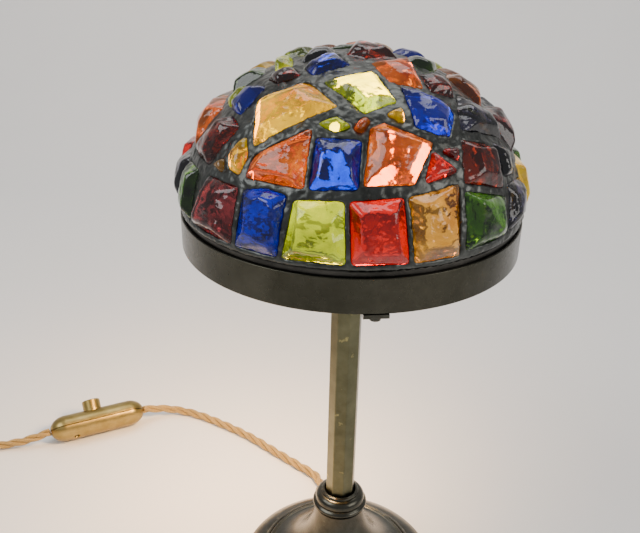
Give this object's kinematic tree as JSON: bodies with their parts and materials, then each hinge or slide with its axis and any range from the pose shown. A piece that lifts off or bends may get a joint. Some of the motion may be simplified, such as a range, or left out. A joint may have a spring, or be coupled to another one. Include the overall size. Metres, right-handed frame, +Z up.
{
  "type": "table lamp",
  "caption": "Lit table lamp: dome shade of leaded chunk glass on a bronze ring, octagonal brass stem, turned bell base, twisted gold lead with in-line push switch and mains plug.",
  "frame": {"origin": "centre of the felt underside, on the table, under the stem axis", "axes": "+Z up the stem; -Y is the front; the lead leaves the back of the base and runs towards -X"},
  "size_m": [0.5035, 0.274, 0.3728],
  "materials": {
    "felt": "wool baize",
    "bronze": "dark bronze patina, satin, slightly polished on the beads",
    "ring_bronze": "smooth dark bronze patina, satin",
    "stem_brass": "olive brass patina, paler along the corners",
    "antique_brass": "satin antique brass",
    "raw_brass": "plain machined brass",
    "iron": "rough cast",
    "steel": "zinc plated",
    "nickel": "nickel-plated shell",
    "porcelain": "glazed ceramic",
    "bulb_envelope": "thin clear glass",
    "bulb_insulator": "black glass bead",
    "filament": "glowing coil",
    "lead": "pewter-grey lead and solder, hand-beaded",
    "came": "smooth dark patinated edge came",
    "flex_braid": "old-gold braided sleeve on three twisted cores",
    "bakelite": "dark moulded plastic",
    "rubber": "soft black sleeve",
    "glass_amber": "thick knapped chunk glass, glossy, translucent",
    "glass_cobalt": "thick knapped chunk glass, glossy, translucent",
    "glass_green": "thick knapped chunk glass, glossy, translucent",
    "glass_honey": "thick knapped chunk glass, glossy, translucent",
    "glass_lime": "thick knapped chunk glass, glossy, translucent",
    "glass_maroon": "thick knapped chunk glass, glossy, translucent",
    "glass_orange": "thick knapped chunk glass, glossy, translucent",
    "glass_peach": "thick knapped chunk glass, glossy, translucent",
    "glass_plum": "thick knapped chunk glass, glossy, translucent",
    "glass_red": "thick knapped chunk glass, glossy, translucent",
    "glass_smoke": "thick knapped chunk glass, glossy, translucent"
  },
  "bodies": {
    "root": {"base_felt": "felt", "base_foot": "bronze", "base_weight": "iron", "base_collar": "bronze", "cable_bush": "antique_brass", "base_washer": "steel", "base_nut": "steel", "stem": "stem_brass", "stem_rod": "raw_brass", "inner_flex": "flex_braid", "spider_hub": "bronze", "spider_arms": "bronze", "spider_rivets": "bronze", "ring_screws": "bronze", "shade_ring": "ring_bronze", "ring_ledge": "ring_bronze", "holder_cap": "antique_brass", "holder_skirt": "antique_brass", "holder_shade_ring": "antique_brass", "holder_core": "porcelain", "holder_screws": "steel", "holder_contact": "raw_brass", "holder_sleeve": "raw_brass", "switch_upper": "antique_brass", "switch_lower": "antique_brass", "switch_block": "bakelite", "switch_screws": "steel", "switch_spring": "steel", "flex_to_switch": "flex_braid", "flex_to_coil": "flex_braid", "flex_coil": "flex_braid", "flex_to_plug": "flex_braid", "plug_cover": "bakelite", "plug_base": "bakelite", "plug_pins": "raw_brass", "plug_screw": "steel", "plug_sleeve": "rubber"},
    "dome_shade": {"dome_lead": "lead", "dome_came": "came", "glass_amber": "glass_amber", "glass_cobalt": "glass_cobalt", "glass_green": "glass_green", "glass_honey": "glass_honey", "glass_lime": "glass_lime", "glass_maroon": "glass_maroon", "glass_orange": "glass_orange", "glass_peach": "glass_peach", "glass_plum": "glass_plum", "glass_red": "glass_red", "glass_smoke": "glass_smoke"},
    "bulb": {"bulb_glass": "bulb_envelope", "bulb_cap": "nickel", "bulb_insulator": "bulb_insulator", "bulb_contact": "steel", "bulb_mount": "bulb_envelope", "bulb_filament": "filament"},
    "switch_button": {"switch_button": "antique_brass"}
  },
  "joints": [
    {"name": "dome_lift", "type": "slide", "parent": "root", "child": "dome_shade", "axis": [0, 0, 1], "range_m": [0, 0.1]},
    {"name": "bulb_turn", "type": "hinge", "parent": "root", "child": "bulb", "pos_m": [0, 0, 0.29], "axis": [0, 0, 1], "range_deg": [0, 1440]},
    {"name": "button_press", "type": "slide", "parent": "root", "child": "switch_button", "axis": [0.3337, -0.6234, -0.7071], "range_m": [0, 0.0025], "stiffness_N_per_m": 400, "springref_m": -0.001}
  ]
}
